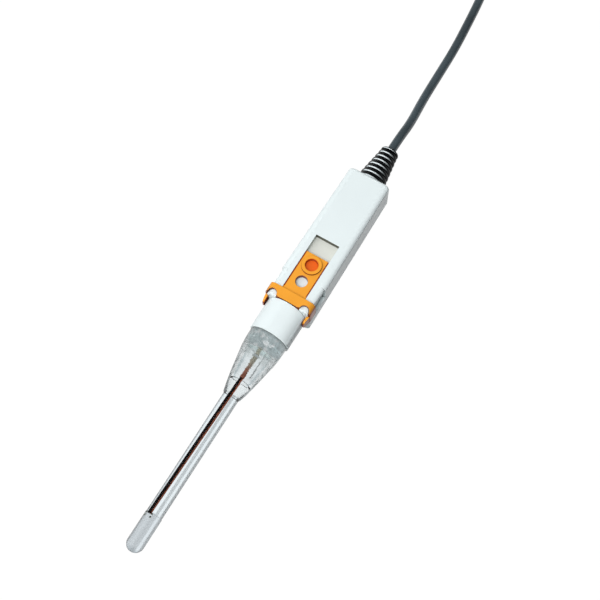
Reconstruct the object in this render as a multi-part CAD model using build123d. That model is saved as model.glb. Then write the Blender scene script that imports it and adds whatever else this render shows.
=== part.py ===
"""A laboratory pH electrode: a glass combination electrode in a clear collar, on a white
handle with a sliding filler-port cover, a ribbed strain relief and a coaxial lead.

Frame, in millimetres: the stem lies along Y with its tip towards -Y and the lead towards +Y.
+Z is the handle's front, where the port cover slides. The flat rear face lies on z = 0, and
the origin is under the middle of the body's length.
"""

import os
from math import cos, pi, radians, sin, tan

from build123d import *

# Lengths along the stem's axis
exposed_stem = 82.5
collar_length = 32.5
handle_length = 94.0
relief_length = 21.0

# Glass
stem_diameter = 8.0
stem_wall = 0.9
stem_seat_diameter = 7.4
bulb_diameter = 8.4
bulb_wall = 0.55
bulb_length = 18.9
inner_tube_diameter = 5.2
inner_tube_wall = 0.45
junction_diameter = 1.3
junction_length = 2.2
junction_above_bulb = 1.3
electrode_diameter = 1.4
electrode_above_bulb = 2.9
electrode_lean = 1.35
electrode_top_lean = 0.45
sleeve_diameter = 1.6
stopper_length = 1.6
bush_diameter = 2.6
bush_length = 1.2
bush_below_collar_top = 10.0
reference_wire_diameter = 0.5
reference_wire_offset = 2.1
reference_wire_below_collar_top = 21.0
reference_wire_above_collar_top = 48.8

# Clear collar
collar_step = 1.2
collar_joint_length = 7.8
collar_shoulder_from_top = 9.5
collar_shoulder_share = 0.948
collar_kink_from_top = 21.6
collar_kink_share = 0.72
collar_foot_diameter = 9.0
collar_edge_round = 0.7
collar_cavity_top_share = 0.487
collar_cavity_share = 0.378
collar_cavity_depth = 23.9
collar_cavity_round = 1.2
stem_socket_depth = 8.0

# Handle
neck_crown = 1.25
neck_length = 16.6
handle_low_width = 24.1
handle_taper = 1.9
handle_depth = 19.25
handle_corner = 3.2
handle_end_round = 1.4
handle_wall = 1.8
handle_side_wall = 1.5
parting_shelf = 0.9

# Filler port and its cover
port_from_collar = 38.8
port_bore = 4.2
port_neck_diameter = 6.6
port_pitch = 9.2
cover_tongue_width = 12.3
cover_below_face = 0.2
cover_bottom_from_collar = 16.9
cover_lift = 0.15
cover_side_gap = 0.15
cover_stop_gap = 0.3
cover_beyond_boss = 5.5
cover_corner = 0.5
recess_depth = 2.6
recess_floor = 1.5
rail_width = 0.7
rail_height = 0.8
rail_setback = 2.0
boss_diameter = 9.6
boss_dimple_diameter = 6.4
boss_height = 0.9
boss_dimple_depth = 0.9
cover_hole_diameter = 6.0
bridge_thickness = 1.25
bridge_length = 5.0
bridge_arch_radius = 2.4
bridge_side = 0.9
bridge_corner = 3.4
waist_depth = 0.95
wing_length = 9.4
wing_thickness = 1.45
wing_height = 6.4
wing_below_axis = 0.5
wing_round = 1.9
wing_channel_depth = 1.75

# Filler chamber inside the handle
chamber_wall = 1.2
chamber_neck_share = 0.777
chamber_end_from_collar = 46.0
chamber_gap = 0.35
chamber_cap_length = 3.0
port_seal_diameter = 9.6
port_seal_height = 1.0

# Seals, wiring and lead entry
joint_seal_section = 1.2
joint_seal_from_top = 4.6
terminal_length_share = 0.53
terminal_width = 9.0
terminal_thickness = 1.6
terminal_to_cable = 2.0
lead_diameter = 1.2
lead_spread = 2.6
clamp_length = 6.0
clamp_side_gap = 1.2
clamp_from_end = 9.0
relief_base_diameter = 15.2
relief_end_diameter = 9.4
relief_neck_diameter = 10.4
relief_flange_diameter = 13.6
relief_flange_length = 1.8
relief_ribs = 7
relief_groove_depth = 0.75
relief_groove_share = 0.42
relief_end_land = 1.6
relief_end_round = 0.9

# Lead
cable_diameter = 4.6
cable_inside = 24.0

# Put-away hank of the lead, past the cord's straight run
hank_half_width = 14.0
hank_half_length = 52.0
hank_straight_end = 26.0
hank_waist_half_width = 6.5
hank_waist_half_length = 8.0
hank_end_radius = 13.9
hank_side_radius = 40.0
hank_waist_radius = 20.0
hank_layers = 4
hank_beyond_relief = 177.0
tail_length = 46.0
tail_shift = 5.0
lead_shift = -10.0
tie_width = 9.0
tie_thickness = 0.8

# Bayonet plug
nut_diameter = 14.6
nut_length = 15.5
nut_wall = 1.35
nut_floor = 2.6
nut_flutes = 16
flute_diameter = 1.2
flute_end_land = 1.6
slot_width = 2.3
slot_depth = 6.2
slot_side = 4.2
core_diameter = 9.6
core_length = 9.0
core_flange = 1.6
core_neck_length = 5.4
sleeve_contact_diameter = 8.1
sleeve_contact_wall = 0.6
sleeve_contact_length = 8.6
insulator_length = 6.8
insulator_front_diameter = 4.9
pin_diameter = 1.4
pin_point = 0.5
ferrule_diameter = 7.0
ferrule_length = 7.0
boot_length = 20.0
boot_diameter = 9.4
boot_end_diameter = 6.8
boot_grooves = 4
boot_groove_width = 1.4
boot_groove_depth = 0.8

# Fits
bond_gap = 0.05
slip_gap = 0.15
free_gap = 0.3
overrun = 5.0

# Stations along Y and heights worked out from the sizes above
body_length = exposed_stem + collar_length + handle_length + relief_length
neck_diameter = handle_depth + neck_crown
axis_height = neck_diameter / 2
collar_diameter = neck_diameter - collar_step
collar_shoulder_diameter = collar_shoulder_share * collar_diameter
collar_kink_diameter = collar_kink_share * collar_diameter
collar_cavity_top_diameter = collar_cavity_top_share * collar_diameter
collar_cavity_diameter = collar_cavity_share * collar_diameter
chamber_neck_diameter = chamber_neck_share * collar_diameter
handle_top_width = handle_low_width - handle_taper
tip_y = -body_length / 2
foot_y = tip_y + exposed_stem
collar_y = foot_y + collar_length
handle_end_y = collar_y + handle_length
relief_end_y = handle_end_y + relief_length
bulb_y = tip_y + bulb_length
stem_top_y = foot_y + stem_socket_depth
cavity_y = collar_y - collar_cavity_depth
shoulder_y = collar_y + neck_length
port_y = collar_y + port_from_collar
cover_low_y = collar_y + cover_bottom_from_collar
cover_top_y = port_y + cover_beyond_boss
recess_low_y = cover_low_y - cover_stop_gap
recess_top_y = cover_top_y + port_pitch + cover_stop_gap
bridge_top_y = cover_low_y + bridge_length + cover_stop_gap
bridge_low_y = bridge_top_y - bridge_length
wing_low_y = bridge_top_y - wing_length
travel_end_y = bridge_top_y + port_pitch + cover_stop_gap
floor_z = handle_depth - recess_depth
ceiling_z = floor_z - recess_floor
cover_z = floor_z + cover_lift
cover_top_z = handle_depth - cover_below_face
bridge_z = handle_depth + slip_gap
bridge_top_z = bridge_z + bridge_thickness
waist_half = handle_low_width / 2 - waist_depth
bridge_half = waist_half + slip_gap + bridge_side
channel_half = handle_low_width / 2 - wing_channel_depth
handle_inner_width = 2 * (channel_half - handle_side_wall)
wing_inner = channel_half + slip_gap
wing_low_z = axis_height - wing_below_axis
chamber_end_y = collar_y + chamber_end_from_collar
chamber_low_z = handle_wall + chamber_gap
chamber_top_z = ceiling_z - chamber_gap
spigot_y = collar_y - collar_joint_length + free_gap
neck_end_y = recess_low_y - handle_wall
relief_inner_y = handle_end_y - handle_wall
cable_start_y = handle_end_y - cable_inside
terminal_end_y = cable_start_y - terminal_to_cable
terminal_length = terminal_length_share * (cable_start_y - chamber_end_y - chamber_cap_length / 2)
cable_z = cable_diameter / 2
hank_x = lead_shift + hank_half_width
hank_y = relief_end_y + hank_beyond_relief
hank_height = hank_layers * cable_diameter
hank_top_z = hank_height - cable_diameter / 2
hank_start_y = hank_y - hank_half_length + hank_end_radius
hank_end_y = hank_y + hank_half_length - hank_end_radius
plug_z = nut_diameter / 2
plug_x = lead_shift + tail_shift
plug_y = hank_end_y + tail_length
boot_front_y = plug_y + boot_length
nut_rear_y = boot_front_y + core_length - core_neck_length
neck_radius = core_diameter / 2 - core_flange / 2
flange_y = nut_rear_y + nut_floor + slip_gap


def rod(radius, start, end, x=0, z=axis_height):
    """A round bar along Y."""
    plane = Plane(origin=(x, start, z), x_dir=(1, 0, 0), z_dir=(0, 1, 0))
    return extrude(plane * Circle(radius), amount=end - start)


def tube(outer, inner, start, end, x=0, z=axis_height):
    """A round tube along Y."""
    plane = Plane(origin=(x, start, z), x_dir=(1, 0, 0), z_dir=(0, 1, 0))
    return extrude(plane * (Circle(outer) - Circle(inner)), amount=end - start)


def block(x_low, x_high, y_low, y_high, z_low, z_high):
    """A rectangular block between two corners."""
    size = (x_high - x_low, y_high - y_low, z_high - z_low)
    middle = ((x_high + x_low) / 2, (y_high + y_low) / 2, (z_high + z_low) / 2)
    return Pos(*middle) * Box(*size)


def rounded_bar(width, y_low, y_high, z_low, z_high, corner):
    """A bar along Y with a rounded rectangular section, centred on x = 0."""
    plane = Plane(origin=(0, y_low, (z_low + z_high) / 2), x_dir=(1, 0, 0), z_dir=(0, 1, 0))
    section = plane * RectangleRounded(width, z_high - z_low, corner)
    return extrude(section, amount=y_high - y_low)


def turned(points, x=0, z=axis_height):
    """A solid turned about an axis along Y; each point is (radius, station)."""
    outline = make_face(Polyline([(x + radius, station, z) for radius, station in points], close=True))
    return revolve(outline, axis=Axis((x, 0, z), (0, 1, 0)))


def ends(part, at_start):
    """The circular edges at one end of a part that lies along Y."""
    groups = part.edges().filter_by(GeomType.CIRCLE).group_by(Axis.Y)
    return groups[0] if at_start else groups[-1]


# Glass electrode


def stem_tube():
    """The outer glass tube, ground down where the collar holds it, with the hole for its junction."""
    radius = stem_diameter / 2
    glass = tube(radius, radius - stem_wall, bulb_y, foot_y)
    glass += tube(stem_seat_diameter / 2, radius - stem_wall, foot_y, stem_top_y)
    hole = junction_cylinder(junction_diameter / 2 + bond_gap, overrun)
    return glass - hole


def junction_cylinder(radius, beyond):
    """A cylinder through the stem's left wall, level with the junction."""
    start = -stem_diameter / 2 - beyond
    end = -stem_diameter / 2 + junction_length
    plane = Plane(origin=(start, bulb_y + junction_above_bulb, axis_height), z_dir=(1, 0, 0))
    return extrude(plane * Circle(radius), amount=end - start)


def ceramic_junction():
    """The porous pin that lets the reference liquid seep through the glass."""
    bore = rod(inner_tube_diameter / 2 + bond_gap, bulb_y, stem_top_y)
    flush = rod(stem_diameter / 2, bulb_y, stem_top_y)
    return (junction_cylinder(junction_diameter / 2, 0) & flush) - bore


def sensing_bulb():
    """The thin-walled closed end, domed at the tip and fused to both tubes at its top."""
    outer = bulb_diameter / 2
    inner = outer - bulb_wall
    shell = rod(outer, tip_y + outer, bulb_y) + Pos(0, tip_y + outer, axis_height) * Sphere(outer)
    hollow_top = bulb_y - bulb_wall
    hollow = rod(inner, tip_y + outer, hollow_top) + Pos(0, tip_y + outer, axis_height) * Sphere(inner)
    way_up = rod(inner_tube_diameter / 2 - inner_tube_wall, hollow_top - overrun, bulb_y + overrun)
    return shell - hollow - way_up


def inner_tube():
    """The inner glass tube, which stands on the bulb and holds the inner electrode."""
    radius = inner_tube_diameter / 2
    return tube(radius, radius - inner_tube_wall, bulb_y, stem_top_y)


def leaning_path(start_y, end_y):
    """The line of the inner electrode, which leans to the left towards the tip."""
    low_y = bulb_y + electrode_above_bulb
    high_y = stem_top_y + stopper_length
    slope = (electrode_lean - electrode_top_lean) / (high_y - low_y)

    def place(y):
        return (-electrode_lean + slope * (y - low_y), y, axis_height)

    return Vector(*place(start_y)), Vector(*place(end_y))


def leaning_rod(radius, start_y, end_y):
    """A round bar on the inner electrode's line."""
    start, end = leaning_path(start_y, end_y)
    plane = Plane(origin=start, z_dir=end - start)
    return extrude(plane * Circle(radius), amount=(end - start).length)


def measuring_electrode():
    """The dark red rod inside the inner tube."""
    return leaning_rod(electrode_diameter / 2, bulb_y + electrode_above_bulb, stem_top_y + stopper_length)


def inner_stopper():
    """The plug that closes the inner tube's top round the electrode."""
    outer = inner_tube_diameter / 2 - inner_tube_wall - bond_gap
    stopper = rod(outer, stem_top_y - stopper_length, stem_top_y + stopper_length / 2)
    return stopper - leaning_rod(electrode_diameter / 2 + bond_gap, stem_top_y - overrun, stem_top_y + overrun)


def electrode_sleeve():
    """The tube that carries the inner electrode's lead up through the filler chamber."""
    return tube(
        sleeve_diameter / 2,
        sleeve_diameter / 4,
        stem_top_y + stopper_length + slip_gap,
        chamber_end_y + chamber_cap_length,
        x=-electrode_top_lean,
    )


def electrode_bush():
    """The white ring that centres the sleeve in the collar."""
    top_y = collar_y - bush_below_collar_top
    return tube(
        bush_diameter / 2,
        sleeve_diameter / 2 + bond_gap,
        top_y - bush_length,
        top_y,
        x=-electrode_top_lean,
    )


def reference_wire():
    """The silver wire of the reference half, which hangs in the liquid."""
    return rod(
        reference_wire_diameter / 2,
        collar_y - reference_wire_below_collar_top,
        collar_y + reference_wire_above_collar_top,
        x=reference_wire_offset,
    )


# Collar


def clear_collar():
    """The thick-walled clear collar, its cavity open to the chamber above and the stem below."""
    top = collar_diameter / 2
    outline = [
        (0, collar_y),
        (top, collar_y),
        (collar_shoulder_diameter / 2, collar_y - collar_shoulder_from_top),
        (collar_kink_diameter / 2, collar_y - collar_kink_from_top),
        (collar_foot_diameter / 2, foot_y),
        (0, foot_y),
    ]
    body = turned(outline)
    body = chamfer(ends(body, True), collar_edge_round / 2)
    body = chamfer(ends(body, False), collar_edge_round)
    joint = rod(chamber_neck_diameter / 2 + bond_gap, collar_y - collar_joint_length, collar_y + overrun)
    cavity = turned([
        (0, collar_y),
        (collar_cavity_top_diameter / 2, collar_y),
        (collar_cavity_top_diameter / 2, collar_y - collar_joint_length),
        (collar_cavity_diameter / 2, cavity_y),
        (0, cavity_y),
    ])
    cavity = chamfer(ends(cavity, True), collar_cavity_round)
    inner = stem_diameter / 2 - stem_wall
    socket = rod(stem_seat_diameter / 2 + bond_gap, foot_y - overrun, stem_top_y)
    return body - joint - cavity - rod(inner, stem_top_y - overrun, cavity_y + overrun) - socket


def collar_seal():
    """The ring that seals the collar on the chamber's neck."""
    outer = chamber_neck_diameter / 2
    half = joint_seal_section / 2
    middle = collar_y - joint_seal_from_top
    ring = tube(outer, outer - joint_seal_section, middle - half, middle + half)
    return chamfer(ring.edges().filter_by(GeomType.CIRCLE), joint_seal_section / 4)


# Handle


def handle_blank():
    """The handle's outside: a flat tapering box on a round neck."""
    low, top = handle_low_width / 2, handle_top_width / 2
    corners = [(-low, shoulder_y), (low, shoulder_y), (top, handle_end_y), (-top, handle_end_y)]
    box = extrude(make_face(Polyline(corners, close=True)), amount=handle_depth)
    long_edges = [edge for edge in box.edges() if edge.length > handle_length / 2]
    box = fillet(long_edges, handle_corner)
    box = fillet(box.faces().sort_by(Axis.Y)[-1].edges(), handle_end_round)
    box = fillet(box.faces().sort_by(Axis.Y)[0].edges(), handle_end_round / 2)
    neck = rod(neck_diameter / 2, collar_y, shoulder_y)
    neck = chamfer(ends(neck, True), collar_edge_round / 2)
    root = rod(neck_diameter / 2, shoulder_y, shoulder_y + bridge_length)
    root &= block(-neck_diameter, neck_diameter, shoulder_y, shoulder_y + bridge_length, 0, handle_depth)
    return box + neck + root


def cover_track():
    """What the sliding cover needs cut from the handle: recess, rail slots, waist and channels."""
    recess_half = cover_tongue_width / 2 + cover_side_gap
    recess = block(-recess_half, recess_half, recess_low_y, recess_top_y, floor_z, handle_depth + overrun)
    slot_half = recess_half + rail_width
    slots_top = cover_z + rail_height + slip_gap
    slots = block(-slot_half, slot_half, recess_low_y + rail_setback, recess_top_y, floor_z, slots_top)
    waist_low = shoulder_y - free_gap
    around = block(-neck_diameter, neck_diameter, waist_low, travel_end_y, wing_low_z - slip_gap, handle_depth)
    kept = rounded_bar(2 * waist_half, waist_low, travel_end_y, 0, handle_depth, bridge_corner - bridge_side)
    track = recess + slots + (around - kept)
    for side in (-1, 1):
        inner, outer = sorted((side * channel_half, side * neck_diameter))
        channel_top = wing_low_z + wing_height + slip_gap
        track += block(inner, outer, wing_low_y - free_gap, travel_end_y, wing_low_z - slip_gap, channel_top)
    return track


def handle_hollow():
    """The room inside the handle: a bore in the neck, then a box under the recess floor."""
    radius = chamber_neck_diameter / 2 + slip_gap
    bore = rod(radius, collar_y - overrun, neck_end_y)
    low_bore = rod(radius, neck_end_y, shoulder_y + handle_wall)
    bore += low_bore & block(-radius, radius, neck_end_y, shoulder_y + handle_wall, 0, ceiling_z)
    half = handle_inner_width / 2
    low_part = block(-half, half, shoulder_y + handle_wall, recess_top_y + handle_wall, handle_wall, ceiling_z)
    high_z = handle_depth - handle_wall
    high_part = block(-half, half, recess_top_y + handle_wall, relief_inner_y, handle_wall, high_z)
    entry = rod(relief_neck_diameter / 2 + bond_gap, relief_inner_y - overrun, handle_end_y + overrun)
    return bore + low_part + high_part + entry


def port_way():
    """The stepped hole in the recess floor, for the port's neck and its seal."""
    neck = Pos(0, port_y, floor_z) * Cylinder(port_neck_diameter / 2 + slip_gap, 2 * overrun)
    seat_z = floor_z - port_seal_height + cover_lift / 2
    seat = Pos(0, port_y, seat_z) * Cylinder(
        port_seal_diameter / 2 + bond_gap, overrun, align=(Align.CENTER, Align.CENTER, Align.MIN)
    )
    return neck + seat


def lap_rim(extra):
    """The low rim on the rear shell that the front shell closes over."""
    outer = handle_inner_width / 2 + parting_shelf + extra
    inner = handle_inner_width / 2
    low_y = travel_end_y + handle_wall - extra
    high_y = relief_inner_y - handle_wall + extra
    rim = block(-outer, outer, low_y, high_y, axis_height, axis_height + parting_shelf + extra)
    return rim - block(-inner, inner, low_y - overrun, high_y + overrun, 0, handle_depth)


def shells():
    """The handle's two halves, parted at the stem's axis."""
    body = handle_blank() - cover_track() - handle_hollow()
    far = body_length
    above = block(-far, far, -far, far, axis_height, far)
    front = (body & above) - port_way() - lap_rim(bond_gap)
    rear = (body - above) + lap_rim(0)
    return front, rear


def filler_chamber():
    """The natural-plastic chamber that holds the reference liquid behind the port."""
    radius = chamber_neck_diameter / 2
    neck = rod(radius, spigot_y, neck_end_y - slip_gap)
    half = handle_inner_width / 2 - chamber_gap
    box_low_y = shoulder_y + handle_wall + chamber_gap
    box = block(-half, half, box_low_y, chamber_end_y, chamber_low_z, chamber_top_z)
    box = fillet(box.edges().filter_by(Axis.Y), chamber_wall)
    joint_end = box_low_y + chamber_wall
    joint = rod(radius, neck_end_y - chamber_wall, joint_end)
    joint &= block(-radius, radius, neck_end_y - chamber_wall, joint_end, 0, chamber_top_z)
    hollow = block(
        -half + chamber_wall,
        half - chamber_wall,
        box_low_y + chamber_wall,
        chamber_end_y + overrun,
        chamber_low_z + chamber_wall,
        chamber_top_z - chamber_wall,
    )
    bore_radius = radius - joint_seal_section - chamber_wall
    bore = rod(bore_radius, spigot_y - overrun, neck_end_y - 2 * chamber_wall)
    way_half = min(bore_radius, half - chamber_wall)
    way_end = box_low_y + 2 * chamber_wall
    way = block(-way_half, way_half, spigot_y, way_end, 0, chamber_top_z - chamber_wall)
    bore += rod(bore_radius, spigot_y, way_end) & way
    port = Pos(0, port_y, axis_height) * Cylinder(
        port_neck_diameter / 2 + bond_gap, handle_depth, align=(Align.CENTER, Align.CENTER, Align.MIN)
    )
    groove = tube(
        chamber_neck_diameter,
        chamber_neck_diameter / 2 - joint_seal_section - bond_gap,
        collar_y - joint_seal_from_top - joint_seal_section / 2 - bond_gap,
        collar_y - joint_seal_from_top + joint_seal_section / 2 + bond_gap,
    )
    return neck + joint + box - hollow - bore - port - groove


def port_spout():
    """The filler port's short neck, which joins the chamber's wall and carries the seal."""
    low_z = chamber_top_z - chamber_wall
    plane = Plane(origin=(0, port_y, low_z))
    ring = plane * (Circle(port_neck_diameter / 2) - Circle(port_bore / 2))
    return extrude(ring, amount=floor_z - port_seal_height + cover_lift / 2 - low_z)


def chamber_cap():
    """The cap on the chamber's end, with the holes that the sleeve and the wire leave by."""
    half = handle_inner_width / 2 - chamber_gap
    plate = block(-half, half, chamber_end_y, chamber_end_y + chamber_cap_length / 2, chamber_low_z, chamber_top_z)
    inset = chamber_wall + bond_gap
    plug = block(
        -half + inset,
        half - inset,
        chamber_end_y - chamber_cap_length / 2,
        chamber_end_y,
        chamber_low_z + inset,
        chamber_top_z - inset,
    )
    low, high = chamber_end_y - overrun, chamber_end_y + overrun
    sleeve_hole = rod(sleeve_diameter / 2 + bond_gap, low, high, x=-electrode_top_lean)
    wire_hole = rod(reference_wire_diameter / 2 + bond_gap, low, high, x=reference_wire_offset)
    return plate + plug - sleeve_hole - wire_hole


def port_seal():
    """The rubber ring round the filler port, which the cover slides over."""
    seat_z = floor_z - port_seal_height + cover_lift / 2
    plane = Plane(origin=(0, port_y, seat_z))
    ring = extrude(plane * (Circle(port_seal_diameter / 2) - Circle(port_bore / 2)), amount=port_seal_height)
    return ring


def port_cover():
    """The sliding cover: tongue, finger boss, port hole, bridge over the face and two side wings."""
    half = cover_tongue_width / 2
    tongue = block(-half, half, cover_low_y, cover_top_y, cover_z, cover_top_z)
    tongue = fillet(tongue.edges().filter_by(Axis.Z).group_by(Axis.Y)[-1], cover_corner)
    rail_half = half + rail_width
    rails_low_y = cover_low_y + rail_setback
    rails = block(-rail_half, rail_half, rails_low_y, cover_top_y - free_gap, cover_z, cover_z + rail_height)
    boss = Pos(0, port_y, cover_top_z) * Cylinder(
        boss_diameter / 2, boss_height, align=(Align.CENTER, Align.CENTER, Align.MIN)
    )
    dimple = Pos(0, port_y, cover_top_z - boss_dimple_depth) * Cylinder(
        boss_dimple_diameter / 2, overrun, align=(Align.CENTER, Align.CENTER, Align.MIN)
    )
    hole = Pos(0, port_y - port_pitch, cover_z) * Cylinder(cover_hole_diameter / 2, 2 * overrun)
    pad = block(-half, half, cover_low_y, bridge_top_y, cover_z, bridge_top_z)
    pad = fillet(pad.edges().filter_by(Axis.Z).group_by(Axis.Y)[0], 2 * cover_corner)
    cover = tongue + rails + boss + pad + cover_bridge()
    for side in (-1, 1):
        cover += cover_wing(side)
    return cover - dimple - hole


def cover_bridge():
    """The strap that crosses the face and turns down its sides, with an arch beside the tongue."""
    outer = rounded_bar(
        2 * bridge_half, bridge_low_y, bridge_top_y, wing_low_z - overrun, bridge_top_z, bridge_corner
    )
    inner = rounded_bar(
        2 * (waist_half + slip_gap),
        bridge_low_y,
        bridge_top_y,
        wing_low_z - overrun,
        bridge_z,
        bridge_corner - bridge_side,
    )
    strap = outer - inner
    strap &= block(
        -neck_diameter, neck_diameter, bridge_low_y, bridge_top_y, axis_height, bridge_top_z + overrun
    )
    arch_x = (cover_tongue_width / 2 + bridge_half - bridge_side) / 2
    for side in (-1, 1):
        strap -= Pos(side * arch_x, bridge_low_y, bridge_top_z) * Cylinder(bridge_arch_radius, 2 * overrun)
    return strap


def cover_wing(side):
    """A finger wing, in the channel at the handle's side and beside the neck."""
    middle = ((wing_low_y + bridge_top_y) / 2, wing_low_z + wing_height / 2)
    plane = Plane(origin=(side * wing_inner, *middle), x_dir=(0, 1, 0), z_dir=(side, 0, 0))
    outline = plane * RectangleRounded(wing_length, wing_height, wing_round)
    wing = extrude(outline, amount=wing_thickness)
    slant = Plane(
        origin=(side * (wing_inner + wing_thickness), bridge_low_y, axis_height),
        z_dir=(side, -wing_thickness / wing_length, 0),
    )
    return wing - extrude(slant * Rectangle(4 * wing_length, 4 * wing_length), amount=overrun)


# Wiring and lead entry


def terminal_board():
    """The small board where the electrode's leads meet the cable."""
    low_y = terminal_end_y - terminal_length
    half = terminal_width / 2
    low_z = axis_height - lead_diameter / 2 - terminal_thickness
    board = block(-half, half, low_y, low_y + terminal_length, low_z, low_z + terminal_thickness)
    posts = handle_inner_width / 2
    for end_y in (low_y, low_y + terminal_length - terminal_thickness):
        board += block(-posts, posts, end_y, end_y + terminal_thickness, handle_wall, low_z + terminal_thickness)
    return board


def board_leads():
    """The two soldered leads, from the chamber's cap over the board to the cable."""
    start = chamber_end_y + chamber_cap_length + slip_gap
    end = cable_start_y - slip_gap
    leads = []
    for side in (-1, 1):
        leads.append(rod(lead_diameter / 2, start, end, x=side * lead_spread / 2))
    return leads


def cable_end():
    """The cable's end inside the handle, through the clamp and the strain relief."""
    return rod(cable_diameter / 2, cable_start_y, relief_end_y)


def cable_clamp():
    """The clamp block that grips the cable between the two shells."""
    end = handle_end_y - clamp_from_end
    start = end - clamp_length
    half = handle_inner_width / 2 - clamp_side_gap
    body = block(-half, half, start, end, handle_wall, handle_depth - handle_wall)
    body = fillet(body.edges().filter_by(Axis.Y), handle_wall)
    return body - rod(cable_diameter / 2 + bond_gap, start - overrun, end + overrun)


def strain_relief():
    """The ribbed rubber cone, held in the handle's end wall by its inner flange."""
    base, end = relief_base_diameter / 2, relief_end_diameter / 2
    ribbed = relief_length - relief_end_land
    pitch = ribbed / relief_ribs
    slope = (base - end) / ribbed
    inner_y = relief_inner_y - relief_flange_length
    points = [
        (cable_diameter / 2 + bond_gap, inner_y),
        (relief_flange_diameter / 2, inner_y),
        (relief_flange_diameter / 2, relief_inner_y),
        (relief_neck_diameter / 2, relief_inner_y),
        (relief_neck_diameter / 2, handle_end_y),
        (base, handle_end_y),
    ]
    for rib in range(relief_ribs):
        rise = rib * pitch
        edge = (1 - relief_groove_share) * pitch
        inset = relief_groove_share * pitch / 4
        points.append((base - slope * (rise + edge), handle_end_y + rise + edge))
        points.append((base - slope * (rise + edge) - relief_groove_depth, handle_end_y + rise + edge + inset))
        points.append((base - slope * (rise + pitch) - relief_groove_depth, handle_end_y + rise + pitch - inset))
        points.append((base - slope * (rise + pitch), handle_end_y + rise + pitch))
    points.append((end, relief_end_y - relief_end_round))
    points.append((end - relief_end_round, relief_end_y))
    points.append((cable_diameter / 2 + bond_gap, relief_end_y))
    return turned(points)


# Lead, coil and plug


def lead_points():
    """The route of the lead from the strain relief down to the table and along it to the hank."""
    return [
        (0, relief_end_y, axis_height),
        (0, relief_end_y + 9.5, axis_height),
        (0.1, relief_end_y + 20.5, 7.6),
        (-1.9, relief_end_y + 38, 3.6),
        (-2.5, relief_end_y + 55, cable_z),
        (-2.8, relief_end_y + 73, cable_z),
        (-4.2, relief_end_y + 90, cable_z),
        (-6.0, relief_end_y + 108, cable_z),
        (-8.9, relief_end_y + 124, cable_z),
        (lead_shift, hank_start_y, cable_z),
    ]


def tail_points():
    """The route of the lead off the hank's top layer, down behind it and into the plug."""
    return [
        (lead_shift, hank_end_y, hank_top_z),
        (lead_shift, hank_end_y + 10, hank_top_z),
        (lead_shift + 1.5, hank_end_y + 21, 12.6),
        (plug_x, plug_y - 13, plug_z),
        (plug_x, plug_y, plug_z),
    ]


def routed_tube(points):
    """A cable along straight runs joined by arcs, each as large as its two runs allow."""
    places = [Vector(*point) for point in points]
    radii = []
    for before, here, after in zip(places, places[1:], places[2:]):
        run_in, run_out = here - before, after - here
        turn = radians(run_in.get_angle(run_out))
        radii.append(0.45 * min(run_in.length, run_out.length) / tan(turn / 2))
    print("arc radii", [round(radius) for radius in radii])
    path = FilletPolyline(*places, radius=radii)
    section = Plane(origin=path @ 0, z_dir=path % 0) * Circle(cable_diameter / 2)
    cable = sweep(section, path=path)
    print("volume", round(cable.volume), "section times length", round(section.area * path.length))
    return cable


def cord_coil():
    """The outer shape of the put-away hank, with the groove that the tie lies in."""
    wide, long = hank_half_width, hank_half_length
    side = [
        (wide, long),
        (wide, hank_straight_end),
        (hank_waist_half_width, hank_waist_half_length),
        (hank_waist_half_width, -hank_waist_half_length),
        (wide, -hank_straight_end),
        (wide, -long),
    ]
    corners = side + [(-x, -y) for x, y in side]
    places = [(hank_x + x, hank_y + y, hank_height / 2) for x, y in corners]
    bends = [hank_end_radius, hank_side_radius, hank_waist_radius]
    path = FilletPolyline(*places, radius=2 * (bends + bends[::-1]), close=True)
    section = Plane(origin=path @ 0, x_dir=(0, 0, 1), z_dir=path % 0) * Rectangle(hank_height, cable_diameter)
    return sweep(section, path=path) - tie_form(bond_gap)


def tie_form(beyond):
    """The tie's form round the hank's waist, grown by a clearance."""
    width = 2 * hank_waist_half_width + cable_diameter
    side = Plane(origin=(hank_x, hank_y, hank_height / 2), x_dir=(1, 0, 0), z_dir=(0, -1, 0))
    outer = side * Rectangle(width + 2 * beyond, hank_height + 2 * beyond)
    wall = tie_thickness + beyond
    inner = side * Rectangle(width - 2 * wall, hank_height - 2 * wall)
    return extrude(outer - inner, amount=tie_width / 2 + beyond, both=True)


def coil_tie():
    """The band that holds the turns together."""
    return tie_form(0)


# Plug: each piece is turned about the plug's axis, from the boot towards the open front


def plug_boot():
    """The grooved rubber boot over the ferrule and the cable."""
    profile = [
        (cable_diameter / 2 + bond_gap, plug_y),
        (boot_end_diameter / 2, plug_y),
    ]
    step = (boot_length - ferrule_length) / (boot_grooves + 1)
    slope = (boot_diameter - boot_end_diameter) / 2 / boot_length
    for groove in range(boot_grooves):
        start = (groove + 1) * step - boot_groove_width / 2
        end = start + boot_groove_width
        for place, depth in ((start, 0), (start, boot_groove_depth), (end, boot_groove_depth), (end, 0)):
            profile.append((boot_end_diameter / 2 + slope * place - depth, plug_y + place))
    profile += [
        (boot_diameter / 2, boot_front_y),
        (ferrule_diameter / 2 + bond_gap, boot_front_y),
        (ferrule_diameter / 2 + bond_gap, boot_front_y - ferrule_length - bond_gap),
        (cable_diameter / 2 + bond_gap, boot_front_y - ferrule_length - bond_gap),
    ]
    return turned(profile, x=plug_x, z=plug_z)


def plug_ferrule():
    """The crimp ferrule on the cable's braid, behind the core."""
    return tube(
        ferrule_diameter / 2,
        cable_diameter / 2 + bond_gap,
        boot_front_y - ferrule_length,
        boot_front_y,
        x=plug_x,
        z=plug_z,
    )


def plug_cable():
    """The cable's end inside the boot and the ferrule."""
    return rod(cable_diameter / 2, plug_y, boot_front_y, x=plug_x, z=plug_z)


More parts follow.
